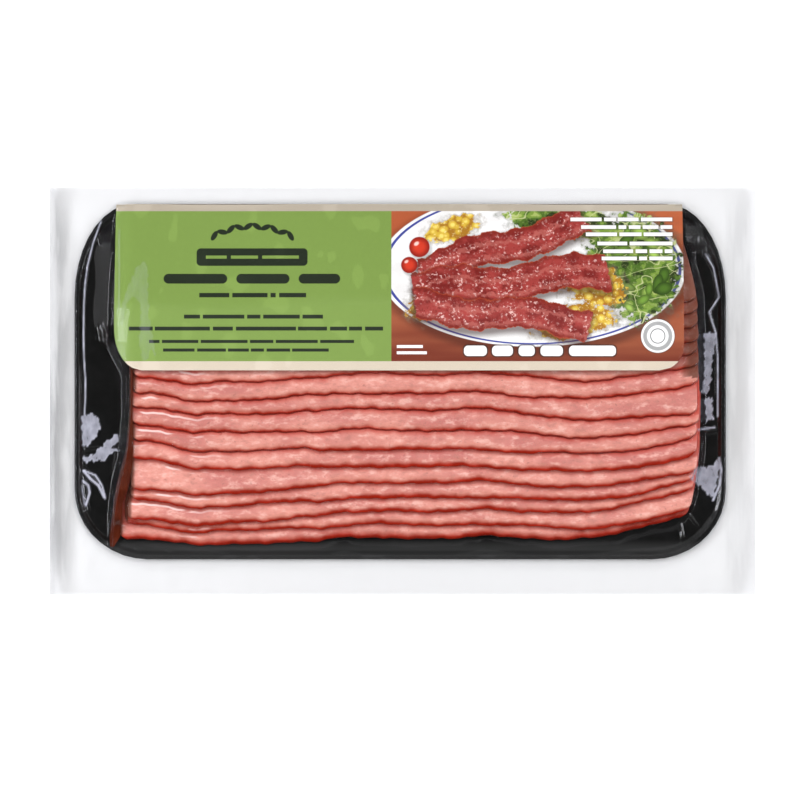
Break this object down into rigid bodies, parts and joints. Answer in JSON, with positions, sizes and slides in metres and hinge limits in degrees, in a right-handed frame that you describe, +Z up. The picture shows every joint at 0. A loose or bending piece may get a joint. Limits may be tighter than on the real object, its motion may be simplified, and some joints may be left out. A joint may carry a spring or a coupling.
{
  "type": "bacon pack",
  "caption": "Vacuum pack of shingled turkey bacon slices on a black rounded tray, with a printed card over the rear, sealed in clear film.",
  "frame": {"origin": "under the middle of the pack as it lies, on the surface it rests on", "axes": "+X along the pack to the right of its print, +Y towards the edge with the printed card, +Z up out of the shown face"},
  "size_m": [0.273, 0.1572, 0.0208],
  "materials": {
    "film": "clear glossy film",
    "tray": "black, glossy under the film",
    "card": "printed card, glossy under the film",
    "meat": "pink cured meat with browned edges"
  },
  "bodies": {
    "root": {"film": "film", "tray": "tray", "label": "card", "slice_01": "meat", "slice_02": "meat", "slice_03": "meat", "slice_04": "meat", "slice_05": "meat", "slice_06": "meat", "slice_07": "meat", "slice_08": "meat", "slice_09": "meat", "slice_10": "meat", "slice_11": "meat", "slice_12": "meat", "slice_13": "meat", "slice_14": "meat", "slice_15": "meat", "slice_16": "meat"}
  },
  "joints": []
}
